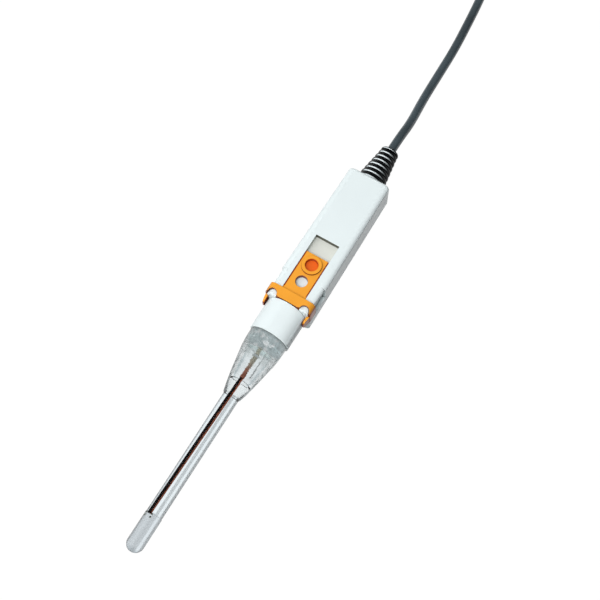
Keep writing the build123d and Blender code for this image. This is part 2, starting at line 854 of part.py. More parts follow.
def plug_core():
    """The fixed metal core: a rear body, a neck that the nut turns on, and the sleeve contact."""
    outer = sleeve_contact_diameter / 2
    inner = outer - sleeve_contact_wall
    seat = insulator_length - sleeve_contact_length / 2
    profile = [
        (0, boot_front_y),
        (core_diameter / 2, boot_front_y),
        (core_diameter / 2, nut_rear_y - slip_gap),
        (neck_radius, nut_rear_y - slip_gap),
        (neck_radius, flange_y),
        (neck_radius + core_flange / 2, flange_y),
        (neck_radius + core_flange / 2, flange_y + core_flange),
        (outer, flange_y + core_flange),
        (outer, flange_y + core_flange + sleeve_contact_length),
        (inner, flange_y + core_flange + sleeve_contact_length),
        (inner, flange_y + core_flange - seat),
        (0, flange_y + core_flange - seat),
    ]
    return turned(profile, x=plug_x, z=plug_z)


def plug_insulator():
    """The white insulator in the sleeve contact, bored for the pin."""
    base_y = flange_y + core_flange - (insulator_length - sleeve_contact_length / 2)
    inner = sleeve_contact_diameter / 2 - sleeve_contact_wall - bond_gap
    profile = [
        (pin_diameter / 2 + bond_gap, base_y),
        (inner, base_y),
        (inner, base_y + insulator_length / 2),
        (insulator_front_diameter / 2, base_y + insulator_length / 2),
        (insulator_front_diameter / 2, base_y + insulator_length),
        (pin_diameter / 2 + bond_gap, base_y + insulator_length),
    ]
    return turned(profile, x=plug_x, z=plug_z)


def plug_pin():
    """The centre contact, with a pointed front."""
    base_y = flange_y + core_flange - (insulator_length - sleeve_contact_length / 2)
    tip = flange_y + core_flange + sleeve_contact_length - pin_point
    profile = [
        (0, base_y),
        (pin_diameter / 2, base_y),
        (pin_diameter / 2, tip - 2 * pin_point),
        (pin_diameter / 4, tip),
        (0, tip),
    ]
    return turned(profile, x=plug_x, z=plug_z)


def plug_nut():
    """The bayonet nut, fluted outside, with two hooked slots in its front."""
    outer = nut_diameter / 2
    inner = outer - nut_wall
    front_y = nut_rear_y + nut_length
    floor_y = nut_rear_y + nut_floor
    profile = [
        (neck_radius + slip_gap, nut_rear_y),
        (outer - flute_end_land / 2, nut_rear_y),
        (outer, nut_rear_y + flute_end_land / 2),
        (outer, front_y - flute_end_land / 4),
        (outer - flute_end_land / 4, front_y),
        (inner, front_y),
        (inner, floor_y),
        (neck_radius + slip_gap, floor_y),
    ]
    nut = turned(profile, x=plug_x, z=plug_z)
    slot_end_y = front_y - slot_depth
    lead_in = block(-slot_width / 2, slot_width / 2, slot_end_y, front_y + overrun, 0, nut_diameter)
    lead_in += block(-slot_width / 2, slot_side, slot_end_y - slot_width / 2, slot_end_y + slot_width / 2, 0, nut_diameter)
    for angle in (0, 180):
        turn = Pos(plug_x, 0, plug_z) * Rot(0, angle, 0)
        nut -= turn * lead_in
    flute_start = nut_rear_y + flute_end_land
    flute_end = slot_end_y - slot_width
    for index in range(nut_flutes):
        angle = 360 * index / nut_flutes
        place = (plug_x + outer * cos(radians(angle)), plug_z + outer * sin(radians(angle)))
        nut -= rod(flute_diameter / 2, flute_start, flute_end, x=place[0], z=place[1])
    return nut


def main():
    os.makedirs("parts", exist_ok=True)
    front, rear = shells()
    left_lead, right_lead = board_leads()
    nodes = {
        "front_shell": front,
        "rear_shell": rear,
        "port_cover": port_cover(),
        "port_seal": port_seal(),
        "port_spout": port_spout(),
        "filler_chamber": filler_chamber(),
        "chamber_cap": chamber_cap(),
        "clear_collar": clear_collar(),
        "collar_seal": collar_seal(),
        "stem_tube": stem_tube(),
        "sensing_bulb": sensing_bulb(),
        "inner_tube": inner_tube(),
        "inner_stopper": inner_stopper(),
        "measuring_electrode": measuring_electrode(),
        "electrode_sleeve": electrode_sleeve(),
        "electrode_bush": electrode_bush(),
        "reference_wire": reference_wire(),
        "ceramic_junction": ceramic_junction(),
        "terminal_board": terminal_board(),
        "signal_lead": left_lead,
        "reference_lead": right_lead,
        "cable_clamp": cable_clamp(),
        "cable_end": cable_end(),
        "strain_relief": strain_relief(),
        "cord_lead": routed_tube(lead_points()),
        "cord_coil": cord_coil(),
        "coil_tie": coil_tie(),
        "cord_tail": routed_tube(tail_points()),
        "plug_cable": plug_cable(),
        "plug_boot": plug_boot(),
        "plug_ferrule": plug_ferrule(),
        "plug_core": plug_core(),
        "plug_insulator": plug_insulator(),
        "plug_pin": plug_pin(),
        "plug_nut": plug_nut(),
    }
    for name, part in nodes.items():
        export_step(part, f"parts/{name}.step")


main()
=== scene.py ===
# %% [markdown]
# # A laboratory pH electrode
# The object lies on its flat back on a white table: a glass stem, a clear collar, a white
# handle with an orange port cover, a ribbed strain relief and a slate-coloured lead.
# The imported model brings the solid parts. This file adds the camera, the light, the lead as
# one smooth curve, the glass with its inner and outer walls, and every finish.
#
# Blender's unit here is the metre. Y runs along the stem towards the lead, Z points up out
# of the handle's front, and the flat back lies on Z = 0.

# %% Set up
from math import cos, pi, radians, sin

import bmesh
import bpy
from mathutils import Matrix, Vector


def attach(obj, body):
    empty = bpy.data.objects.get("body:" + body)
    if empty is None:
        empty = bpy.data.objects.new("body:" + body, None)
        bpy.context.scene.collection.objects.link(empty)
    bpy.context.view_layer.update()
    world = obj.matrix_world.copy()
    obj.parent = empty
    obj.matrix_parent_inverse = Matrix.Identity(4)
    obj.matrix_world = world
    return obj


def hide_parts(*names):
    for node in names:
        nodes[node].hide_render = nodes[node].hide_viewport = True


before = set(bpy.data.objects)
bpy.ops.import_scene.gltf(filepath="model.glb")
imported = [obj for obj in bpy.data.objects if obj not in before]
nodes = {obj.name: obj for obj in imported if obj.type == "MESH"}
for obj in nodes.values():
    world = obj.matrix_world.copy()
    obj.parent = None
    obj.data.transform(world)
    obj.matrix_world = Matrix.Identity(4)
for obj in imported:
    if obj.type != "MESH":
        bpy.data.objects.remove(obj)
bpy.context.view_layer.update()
scene = bpy.context.scene
MM = 0.001
AXIS_Z = 10.25 * MM

# %% [markdown]
# ## The camera
# A product photograph is taken from high above and a little to one side, with a short
# telephoto lens. An empty target and a constraint would also aim it, but working the place
# out from two angles, a distance and a target leaves nothing live in the file.

# %% Camera
VIEW_AZIMUTH = radians(31.03)
VIEW_ELEVATION = radians(68.0)
VIEW_DISTANCE = 581.7 * MM
VIEW_TARGET = Vector((2.4, 24.2, 10.25)) * MM
FOCAL_LENGTH = 74.15

backwards = Vector((
    sin(VIEW_AZIMUTH) * cos(VIEW_ELEVATION),
    -cos(VIEW_AZIMUTH) * cos(VIEW_ELEVATION),
    sin(VIEW_ELEVATION),
))
camera_data = bpy.data.cameras.new("studio_camera")
camera_data.sensor_width = 36
camera_data.lens = FOCAL_LENGTH
camera_data.clip_start = 0.01
camera_data.clip_end = 20
camera = bpy.data.objects.new("studio_camera", camera_data)
scene.collection.objects.link(camera)
camera.location = VIEW_TARGET + backwards * VIEW_DISTANCE
camera.rotation_mode = "QUATERNION"
camera.rotation_quaternion = (-backwards).to_track_quat("-Z", "Y")
scene.camera = camera
print("camera at", [round(part, 3) for part in camera.location])

# %% [markdown]
# ## The lead's route
# A cable is a soft thing of fixed length. It comes straight out of the strain relief, sinks
# to the table and runs along it. Its unseen length is folded into a flat hank: the turns go
# round and round one loop, each a diameter above the last, and a band holds them at the
# waist. Only a few control points are given, in millimetres. The spline rounds the rest.

# %% Lead route
CABLE = 4.6 * MM
LAYER = 4.6
ON_TABLE = LAYER / 2
RELIEF_END = 115.0
HANK_CENTRE = Vector((4.0, 292.0, 0.0))
LAPS = 3

lead_route = [
    (0, RELIEF_END, 10.25),
    (0, RELIEF_END + 9.5, 10.25),
    (0.1, RELIEF_END + 20.5, 7.6),
    (-1.9, RELIEF_END + 38, 3.6),
    (-2.5, RELIEF_END + 55, ON_TABLE),
    (-2.8, RELIEF_END + 73, ON_TABLE),
    (-4.2, RELIEF_END + 90, ON_TABLE),
    (-6.0, RELIEF_END + 108, ON_TABLE),
    (-8.9, RELIEF_END + 126, ON_TABLE),
]
tail_route = [
    (-10.0, 338.1, 16.1),
    (-8.5, 351.1, 12.6),
    (-5.0, 363.1, 7.3),
    (-5.0, 376.1, 7.3),
]
LEFT_SIDE = [
    (-14.0, -33.4), (-13.0, -21.5), (-6.6, -9.5), (-6.6, 9.5), (-13.0, 21.5), (-14.0, 33.4),
]
FAR_FOLD = [(-14.0, 42.5), (-8.7, 49.9), (0.0, 52.7), (8.7, 49.9), (14.0, 42.5)]
CLIMB = (0, 0, 0, 0.1, 0.2, 0.35, 0.5, 0.7, 0.9, 1, 1)


def hank_route():
    """Control points of the folded turns: each lap climbs by one layer on its way back."""
    half_turn = LEFT_SIDE + FAR_FOLD
    points = []
    for lap in range(LAPS):
        low = ON_TABLE + lap * LAYER
        points += [(x, y, low) for x, y in half_turn]
        points += [(-x, -y, low + LAYER * rise) for (x, y), rise in zip(half_turn, CLIMB)]
    points += [(x, y, ON_TABLE + LAPS * LAYER) for x, y in LEFT_SIDE]
    return [tuple(HANK_CENTRE + Vector(point)) for point in points]


route = lead_route + hank_route() + tail_route
print("lead control points", len(route))

# %% [markdown]
# ## The lead's curve
# A NURBS curve of order 3 stays smooth between few points. Its thickness is the bevel depth
# times each point's own radius. The points carry the real radius here, because Blender
# measures a curve's box from its points and their radii.

# %% Lead curve
lead_curve = bpy.data.curves.new("lead", "CURVE")
lead_curve.dimensions = "3D"
lead_curve.bevel_depth = 1.0
lead_curve.bevel_resolution = 7
lead_curve.resolution_u = 10
lead_curve.use_fill_caps = True
spline = lead_curve.splines.new("NURBS")
spline.points.add(len(route) - 1)
for point, place in zip(spline.points, route):
    point.co = (*(MM * part for part in place), 1.0)
    point.radius = CABLE / 2
spline.order_u = 3
spline.use_endpoint_u = True
lead = bpy.data.objects.new("lead", lead_curve)
scene.collection.objects.link(lead)
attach(lead, "body")
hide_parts("cord_lead", "cord_coil", "cord_tail")
print("lead diameter in millimetres", round(CABLE / MM, 2))

# %% [markdown]
# ## A small language for materials
# A material is a sum: a colour here, a little more roughness there. Wired by hand, each plus
# and times takes five lines. This class wraps an output of a node, and Python's operators
# add the Math nodes.


# %% Values
class Value:
    """A number, colour or vector that changes over a surface."""

    def __init__(self, tree, socket):
        self.tree = tree
        self.socket = socket

    def beside(self, out):
        """Another output of the same node."""
        return Value(self.tree, self.socket.node.outputs[out])

    def maths(self, operation, first, second):
        node = self.tree.nodes.new("ShaderNodeMath")
        node.operation = operation
        for place, item in zip(node.inputs, (first, second)):
            if isinstance(item, Value):
                self.tree.links.new(item.socket, place)
            else:
                place.default_value = item
        return Value(self.tree, node.outputs[0])

    def __add__(self, other):
        return self.maths("ADD", self, other)

    def __radd__(self, other):
        return self.maths("ADD", other, self)

    def __sub__(self, other):
        return self.maths("SUBTRACT", self, other)

    def __rsub__(self, other):
        return self.maths("SUBTRACT", other, self)

    def __mul__(self, other):
        return self.maths("MULTIPLY", self, other)

    def __rmul__(self, other):
        return self.maths("MULTIPLY", other, self)

    def above(self, limit):
        return self.maths("GREATER_THAN", self, limit)

    def below(self, limit):
        return self.maths("LESS_THAN", self, limit)

    def larger(self, other):
        return self.maths("MAXIMUM", self, other)

    def size(self):
        return self.maths("ABSOLUTE", self, 0.0)


# %% [markdown]
# ## One way to add a node
# Every other node comes from one method. Its settings go first, because some of them change
# which sockets the node has. Then its sockets get numbers, colours or links.


# %% Recipes
class Recipe:
    """A node tree being filled."""

    def __init__(self, tree):
        self.tree = tree

    def node(self, kind, settings=None, out=0, stops=None, **sockets):
        """Adds a node. A socket is given by its name, or as i and its number."""
        node = self.tree.nodes.new("ShaderNode" + kind)
        for name, value in (settings or {}).items():
            setattr(node, name, value)
        if stops:
            ramp = node.color_ramp
            while len(ramp.elements) < len(stops):
                ramp.elements.new(1.0)
            for element, (place, colour) in zip(ramp.elements, stops):
                element.position = place
                element.color = (*colour, 1)
        for name, value in sockets.items():
            numbered = name[0] == "i" and name[1:].isdigit()
            self.plug(node.inputs[int(name[1:]) if numbered else name.replace("_", " ")], value)
        return Value(self.tree, node.outputs[out])

    def plug(self, place, value):
        """Links a value to a socket, or sets the socket to a number or colour."""
        if isinstance(value, Value):
            self.tree.links.new(value.socket, place)
        elif isinstance(value, tuple) and place.type == "RGBA":
            place.default_value = (*value, 1)
        else:
            place.default_value = value

    def surface(self, kind, shader):
        """Puts the last shader on the world's or the material's output."""
        output = self.tree.nodes.new("ShaderNodeOutput" + kind)
        self.plug(output.inputs["Surface"], shader)


# %% [markdown]
# ## Helpers for shades
# Most shades on this object depend on a place or on a direction: which way a wall faces, how
# far along the stem it lies. So a vector is taken apart, a range of it is turned into an
# amount, and the amount mixes two colours.

# %% Helpers for shades
WHITE = (1.0, 1.0, 1.0)


def apart(mix, vector):
    """The x, y and z of a vector."""
    x = mix.node("SeparateXYZ", Vector=vector)
    return x, x.beside(1), x.beside(2)


def vector_maths(mix, operation, first, second):
    """A dot product and a distance come out as numbers, the rest as vectors."""
    out = 1 if operation in ("DOT_PRODUCT", "DISTANCE") else 0
    return mix.node("VectorMath", {"operation": operation}, out=out, i0=first, i1=second)


def blend(mix, amount, first, second, kind="MIX"):
    """Mixes two colours, or multiplies the first by the second, by an amount."""
    settings = {"data_type": "RGBA", "blend_type": kind}
    return mix.node("Mix", settings, out=2, i0=amount, i6=first, i7=second)


def span(mix, value, low, high):
    """Goes from 0 to 1 while a value goes from low to high."""
    settings = {"interpolation_type": "SMOOTHSTEP"}
    return mix.node("MapRange", settings, Value=value, i1=low, i2=high)


def ray_kinds(mix):
    """1 for a ray from the camera, off a mirror or through glass, else 0."""
    camera_ray = mix.node("LightPath", out="Is Camera Ray")
    return camera_ray, camera_ray.beside("Is Glossy Ray"), camera_ray.beside("Is Transmission Ray")


# %% [markdown]
# ## The sky
# White on white only works if what stands behind the object is a little brighter than it.
# The camera sees plain white. The sky that lights the object is bright overhead and darker
# at the horizon: clear glass has no colour of its own, so its dark edges are that horizon,
# bent round. Glass looks through to a paler one, or it would turn black from low angles.

# %% Sky
SKY_TILT = 0.42
AMBIENT, MIRRORED = 0.42, 0.14
DARK_DOME = [(0.0, (0.10, 0.12, 0.13)), (0.22, (0.25, 0.28, 0.3)), (0.6, WHITE)]
PALE_DOME = [(0.0, (0.3, 0.33, 0.35)), (0.22, (0.42, 0.45, 0.48)), (0.6, WHITE)]

world = bpy.data.worlds.new("studio")
scene.world = world
world.use_nodes = True
world.node_tree.nodes.clear()
sky = Recipe(world.node_tree)
sideways, _, height = apart(sky, sky.node("TexCoord", out="Generated"))
tilted = height - sideways * SKY_TILT
dome = sky.node("ValToRGB", Fac=tilted, stops=DARK_DOME)
paler_dome = sky.node("ValToRGB", Fac=tilted, stops=PALE_DOME)
seen, glossy, through = ray_kinds(sky)
ambient = sky.node("Background", Color=dome, Strength=AMBIENT)
reflected = sky.node("Background", Color=dome, Strength=MIRRORED)
passed = sky.node("Background", Color=paler_dome, Strength=1.0)
shown = sky.node("Background", Color=WHITE, Strength=1.0)
mirror_mix = sky.node("MixShader", Fac=glossy, i1=ambient, i2=reflected)
inner_mix = sky.node("MixShader", Fac=through, i1=mirror_mix, i2=passed)
sky.surface("World", sky.node("MixShader", Fac=seen, i1=inner_mix, i2=shown))
print("sky nodes", len(world.node_tree.nodes))

# %% [markdown]
# ## The table
# The table glows plain white to the camera, mirrors and glass, with a tenth of its own
# shading mixed in, so that the object keeps its shadow. To all other light it is a mid grey
# paint, which keeps the white handle's underside from washing out.


# %% Table
def new_piece(name, work, *materials):
    """Turns a finished bmesh into an object whose place is in its mesh."""
    mesh = bpy.data.meshes.new(name)
    work.to_mesh(mesh)
    work.free()
    for material in materials:
        mesh.materials.append(material)
    piece = bpy.data.objects.new(name, mesh)
    scene.collection.objects.link(piece)
    print(name, "faces", len(mesh.polygons))
    return piece


TABLE_PAINT = (0.38, 0.38, 0.38)
TABLE_GLOW = 1.1
TABLE_SHARE = 0.9

table_material = bpy.data.materials.new("white_table")
table_material.use_nodes = True
table_material.node_tree.nodes.clear()
mix = Recipe(table_material.node_tree)
paint = mix.node("BsdfDiffuse", Color=TABLE_PAINT)
glow = mix.node("Emission", Color=WHITE, Strength=TABLE_GLOW)
seen, glossy, through = ray_kinds(mix)
share = seen.larger(glossy).larger(through) * TABLE_SHARE
mix.surface("Material", mix.node("MixShader", Fac=share, i1=paint, i2=glow))

work = bmesh.new()
just_below = Matrix.Translation((0, 0.1, -0.0001))
bmesh.ops.create_grid(work, x_segments=1, y_segments=1, size=4.0, matrix=just_below)
table = new_piece("table", work, table_material)

# %% [markdown]
# ## The lamps
# One soft box lights the left flank of the handle, the other stands high over the stem's end
# and lights the face. A square area lamp is a soft box: the larger it is, the softer its
# shadow.


# %% Lamps
LAMPS_FACE = (0, 0.03, 0.01)


def soft_box(name, place, size, power):
    """A square lamp that faces the handle."""
    data = bpy.data.lights.new(name, "AREA")
    data.shape = "SQUARE"
    data.size = size
    data.energy = power
    lamp = bpy.data.objects.new(name, data)
    lamp.location = place
    lamp.rotation_mode = "QUATERNION"
    lamp.rotation_quaternion = (Vector(LAMPS_FACE) - Vector(place)).to_track_quat("-Z", "Y")
    scene.collection.objects.link(lamp)
    print(name, "power in watts", power)
    return lamp


key_box = soft_box("key_box", (-0.75, -0.35, 0.75), size=0.7, power=3.1)
top_box = soft_box("top_box", (-0.1, -0.4, 1.05), size=0.6, power=7.2)

# %% [markdown]
# ## Finishes
# Every finish starts from one shader and gets three kinds of change over its surface: a
# slow drift of colour, a finer change of roughness, and a very fine bump. Moulded plastic
# also has edges that catch the light: the Bevel node rounds the shading there, which costs
# no faces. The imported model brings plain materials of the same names, so a finish is handed
# on as a Python value: looking it up by name in the file would find the plain one.

# %% Finishes
COLOUR_CLOUDS = 70.0
ROUGH_DRIFT = 0.08
GRAIN_DEPTH = 0.0004


def finish(
    name, colour, roughness, drift=0.03, grain=900.0, bump=0.02,
    edge=0.0, shades=None, lean=None, **fixed
):
    """A surface with drifting colour and roughness, a fine grain and, if asked, soft edges,
    more shades of colour, and sockets set to one value."""
    material = bpy.data.materials.new(name)
    material.use_nodes = True
    mix = Recipe(material.node_tree)
    sockets = material.node_tree.nodes["Principled BSDF"].inputs
    place = mix.node("TexCoord", out="Object")
    cloud = mix.node("TexNoise", Vector=place, Scale=COLOUR_CLOUDS, Detail=3.0)
    fine = mix.node("TexNoise", Vector=place, Scale=grain, Detail=4.0)
    dark = tuple(part * (1 - drift) for part in colour)
    light = tuple(min(1, part * (1 + drift)) for part in colour)
    tint = mix.node("ValToRGB", Fac=cloud, stops=[(0.3, dark), (0.7, light)])
    if shades:
        tint = shades(mix, tint, place)
    mix.plug(sockets["Base Color"], tint)
    if "Emission_Strength" in fixed:
        mix.plug(sockets["Emission Color"], tint)
    mix.plug(sockets["Roughness"], roughness - ROUGH_DRIFT / 2 + fine * ROUGH_DRIFT)
    relief = {"Height": fine, "Strength": bump, "Distance": GRAIN_DEPTH}
    if edge:
        relief["Normal"] = mix.node("Bevel", {"samples": 6}, Radius=edge * MM)
        if lean:
            relief["Normal"] = lean(mix, relief["Normal"])
    mix.plug(sockets["Normal"], mix.node("Bump", **relief))
    for socket, value in fixed.items():
        mix.plug(sockets[socket.replace("_", " ")], value)
    return material


def dress(material, *names):
    """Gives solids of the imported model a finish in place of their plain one."""
    for name in names:
        nodes[name].data.materials.clear()
        nodes[name].data.materials.append(material)
    print(material.name, "nodes", len(material.node_tree.nodes), "on", ", ".join(names))


def painted_crevice_shade(mix, tint, dark, reach):
    """Painted shade: darkens narrow gaps and inner corners, found by ambient occlusion."""
    settings = {"samples": 8}
    # Painted shade: the darker colour goes where little open space lies around the surface.
    open_share = mix.node("AmbientOcclusion", settings, out="AO", Distance=reach * MM)
    return blend(mix, span(mix, open_share, 0.35, 0.8), dark, tint)


# %% [markdown]
# ## White plastic
# The handle is moulded in a cool white. Painted shade greys its gaps, nearly blackens the end
# wall of the recess for the cover and lays a darker, slightly warm tone on the recess floor,
# picked out by their place and by the way they face. The right long edge turns more sharply
# on the real handle than on the solid, so its normals stay upright for most of the bend and
# turn late: that moves the shade without moving the shape.

# %% White plastic
RECESS_SIDE = 6.6 * MM
RECESS_FROM, END_WALL_FROM = 40 * MM, 48 * MM
FLOOR_LOW, END_WALL_LOW, FLOOR_HIGH = 16.3 * MM, 16.6 * MM, 17.0 * MM
CORNER_FROM, CORNER_TO = 0.84, 0.995
DRAWN_IN_FROM, DRAWN_IN = 0.9, 0.6


def white_painted_shade(mix, tint, place):
    """Painted shade: a little grey in the gaps, a dark end wall and a darker, warm recess floor."""
    right, along, height = apart(mix, place)
    _, faces_along, _ = apart(mix, mix.node("TexCoord", out="Normal"))
    end_wall = (0 - faces_along).above(0.6)
    end_wall = end_wall * along.above(END_WALL_FROM) * height.above(END_WALL_LOW)
    floor = height.below(FLOOR_HIGH) * height.above(FLOOR_LOW)
    floor = floor * right.size().below(RECESS_SIDE) * along.above(RECESS_FROM)
    # Painted shade: the recess floor darker and warmer, its end wall nearly black.
    tint = blend(mix, floor, tint, (0.76, 0.78, 0.72))
    tint = blend(mix, end_wall, tint, (0.075, 0.075, 0.045))
    return painted_crevice_shade(mix, tint, (0.2, 0.21, 0.19), 0.7)


def tight_corner(mix, normal):
    """Shades the right long edge as a smaller corner, and the side as drawn in to the back."""
    right, along, up = apart(mix, normal)
    kept = span(mix, right, CORNER_FROM, CORNER_TO).larger(1 - right.above(0.0))
    drawn_in = span(mix, right, DRAWN_IN_FROM, 1.0) * DRAWN_IN
    leaned = mix.node("CombineXYZ", X=right * kept, Y=along, Z=up - drawn_in)
    return mix.node("VectorMath", {"operation": "NORMALIZE"}, i0=leaned)


white_plastic = finish(
    "white_plastic", (0.86, 0.945, 0.955), 0.34, drift=0.012,
    edge=0.25, shades=white_painted_shade, lean=tight_corner, Specular_IOR_Level=0.3,
)
dress(white_plastic, "front_shell", "rear_shell")

# %% [markdown]
# ## Orange plastic
# The cover is a bright orange. Painted shade turns it brick red where light hardly reaches:
# on its side walls, in its gaps, and along the edges of its tongue. Painted shade also makes
# the finger dimple a deeper orange, found by its distance from the boss's centre.

# %% Orange plastic
BOSS_CENTRE = (0.0, 38.8 * MM, 0.0)
DIMPLE_FROM, DIMPLE_TO = 3.0 * MM, 3.5 * MM
TONGUE_EDGE_FROM, TONGUE_EDGE_TO = 5.55 * MM, 5.8 * MM
TONGUE_START = 23.7 * MM
SIDE_SHADE_RED = (0.30, 0.045, 0.008)
DIMPLE_SHADE_ORANGE = (0.86, 0.15, 0.015)
TONGUE_EDGE_SHADOW_RED = (0.33, 0.03, 0.004)


def orange_painted_shade(mix, tint, place):
    """Painted shade: deeper and redder on side walls, tongue edges, gaps and the finger dimple."""
    _, _, faces_up = apart(mix, mix.node("TexCoord", out="Normal"))
    # Painted shade: the side walls redden as their normal turns away from up.
    tint = blend(mix, span(mix, faces_up, 0.2, 0.75), SIDE_SHADE_RED, tint)
    flat = vector_maths(mix, "MULTIPLY", place, (1.0, 1.0, 0.0))
    from_boss = vector_maths(mix, "DISTANCE", flat, BOSS_CENTRE)
    # Painted shade: the finger dimple is a deeper orange.
    tint = blend(mix, span(mix, from_boss, DIMPLE_FROM, DIMPLE_TO), DIMPLE_SHADE_ORANGE, tint)
    right, along, _ = apart(mix, place)
    tongue_edge = span(mix, right.size(), TONGUE_EDGE_FROM, TONGUE_EDGE_TO)
    # Painted shadow: a brick red line along each edge of the tongue.
    tint = blend(mix, tongue_edge * along.above(TONGUE_START), tint, TONGUE_EDGE_SHADOW_RED)
    return painted_crevice_shade(mix, tint, (0.16, 0.012, 0.002), 0.9)


orange_plastic = finish(
    "orange_plastic", (0.97, 0.4, 0.038), 0.3, drift=0.04,
    edge=0.22, shades=orange_painted_shade, Specular_IOR_Level=0.2,
)
dress(orange_plastic, "port_cover")

# %% [markdown]
# ## Milky plastic and ceramic
# The chamber and its spigot are natural, uncoloured plastic: milky, with pale bubbles where
# the collar is bonded to it. A path tracer's lamps hardly reach it through the clear collar,
# so a little emission stands for the light that scatters inside it. The liquid junction is
# porous ceramic, with four dark corners where the pin meets the glass.

# %% Milky plastic and ceramic
PIN_MIDDLE = Vector((-2.9, -94.8)) * MM
PIN_CORNER = Vector((0.55, 0.32)) * MM


def bonded_shades(mix, tint, place):
    """Milky, with paler spots where the bond holds small bubbles."""
    bubbles = mix.node("TexNoise", Vector=place, Scale=380.0, Detail=3.0)
    return blend(mix, span(mix, bubbles, 0.54, 0.62), tint, WHITE)


def ceramic_shades(mix, tint, place):
    """Pale, with four dark corners where the pin meets the glass."""
    right, along, _ = apart(mix, place)
    corners = (along - PIN_MIDDLE.y).size().above(PIN_CORNER.y)
    corners = corners * (right - PIN_MIDDLE.x).size().above(PIN_CORNER.x)
    return blend(mix, corners, tint, (0.02, 0.025, 0.02))


natural_plastic = finish(
    "natural_plastic", (0.74, 0.81, 0.82), 0.35, drift=0.2, grain=260.0, bump=0.5,
    shades=bonded_shades, Emission_Strength=0.27,
)
dress(
    natural_plastic,
    "filler_chamber", "port_spout", "chamber_cap", "cable_clamp", "collar_seal",
)
ceramic = finish(
    "porous_ceramic", (0.6, 0.6, 0.58), 0.8, drift=0.2, bump=0.2, shades=ceramic_shades,
)
dress(ceramic, "ceramic_junction")

# %% [markdown]
# ## Rod and sleeve
# The rod in the stem is nearly black on its left and brick red on its right, with flecks.
# Its sleeve goes from beige above to brick brown near the glass. Noise is added to the
# place before it picks the colour, so the border is ragged and not ruled.

# %% Rod and sleeve
SLEEVE_BROWN_BELOW, SLEEVE_BEIGE_ABOVE = -21 * MM, -12 * MM
SLEEVE_BORDER = 5 * MM
BRICK_BROWN, BEIGE, BRICK_RED = (0.46, 0.15, 0.09), (0.66, 0.6, 0.48), (0.75, 0.2, 0.1)


def sleeve_shades(mix, tint, place):
    """Beige above and brick brown near the glass."""
    _, along, _ = apart(mix, place)
    flecks = mix.node("TexNoise", Vector=place, Scale=900.0, Detail=3.0)
    ragged = along + (flecks - 0.5) * SLEEVE_BORDER
    return blend(mix, span(mix, ragged, SLEEVE_BROWN_BELOW, SLEEVE_BEIGE_ABOVE), BRICK_BROWN, BEIGE)


def rod_shades(mix, tint, place):
    """Nearly black on the left, brick red on the right, with flecks."""
    faces_right, _, _ = apart(mix, mix.node("TexCoord", out="Normal"))
    flecks = mix.node("TexNoise", Vector=place, Scale=700.0, Detail=4.0)
    return blend(mix, span(mix, faces_right + (flecks - 0.5) * 0.9, 0.15, 0.8), tint, BRICK_RED)


dark_red = finish(
    "dark_red_rod", (0.012, 0.0012, 0.0008), 0.5, drift=0.7, shades=rod_shades,
    Specular_IOR_Level=0.0,
)
brown_tube = finish(
    "brown_tube", (0.28, 0.17, 0.11), 0.4, shades=sleeve_shades, Specular_IOR_Level=0.05,
)
dress(brown_tube, "electrode_sleeve")

# %% [markdown]
# ## Rubber and the cable's jacket
# On the strain relief a painted highlight stands for the light mirrored in each rib: a pale
# ring on the side of each rib that faces the handle and the light, so the normal's three parts
# tell where it lies. The jacket is a smooth slate-coloured plastic.

# %% Rubber and jacket
RUBBER_BLACK = (0.002, 0.0023, 0.003)
RIB_LEAN = 0.27


def painted_ring_highlight(mix, tint, place):
    """Painted highlight: a pale ring on each rib's side towards the handle, most on the upper left.
    """
    right, along, up = apart(mix, mix.node("TexCoord", out="Normal"))
    # Painted highlight: pale where the normal leans towards the handle, fading to the right and
    # downwards.
    ring_highlight = span(mix, (along + RIB_LEAN).size(), 0.3, 0.12)
    ring_highlight = ring_highlight * span(mix, right, 0.9, -0.2) * span(mix, right, -0.86, -0.62)
    return blend(mix, ring_highlight * span(mix, up, 0.1, 0.5), tint, (0.85, 0.93, 0.95))


ridged_rubber = finish(
    "ridged_rubber", RUBBER_BLACK, 0.35, drift=0.2, bump=0.03, shades=painted_ring_highlight,
    Specular_IOR_Level=0.12,
)
black_rubber = finish(
    "black_rubber", RUBBER_BLACK, 0.3, drift=0.2, bump=0.03, Specular_IOR_Level=0.35,
)
dress(black_rubber, "plug_boot")
jacket = finish(
    "cable_jacket", (0.05, 0.072, 0.084), 0.38, drift=0.25, bump=0.05, Specular_IOR_Level=0.9,
)
dress(jacket, "cable_end", "plug_cable")
lead.data.materials.append(jacket)

# %% [markdown]
# ## The other finishes
# The plug's metal, the parts inside the handle and the band round the hank need no shades of
# their own: the drift of colour, roughness and grain that every finish has is enough.

# %% Other finishes
seal_rubber = finish("seal_rubber", (0.03, 0.03, 0.03), 0.5)
white_insulator = finish("white_insulator", (0.82, 0.82, 0.8), 0.45)
silver = finish("silver_wire", (0.78, 0.78, 0.77), 0.4, Metallic=0.2)
nickel = finish("nickel_plate", (0.62, 0.6, 0.57), 0.22, drift=0.04, Metallic=1.0)
gold = finish("gold_plate", (0.83, 0.58, 0.24), 0.24, Metallic=1.0)
board = finish("green_board", (0.04, 0.16, 0.07), 0.4)
lead_red = finish("red_insulation", (0.4, 0.03, 0.02), 0.4)
tie_black = finish("black_tie", (0.02, 0.02, 0.02), 0.5, bump=0.1)
dress(seal_rubber, "port_seal")
dress(white_insulator, "electrode_bush", "plug_insulator", "reference_lead")
dress(silver, "reference_wire")
dress(nickel, "plug_ferrule", "plug_core", "plug_nut")
dress(gold, "plug_pin")
dress(board, "terminal_board")
dress(lead_red, "signal_lead")
dress(tie_black, "coil_tie")
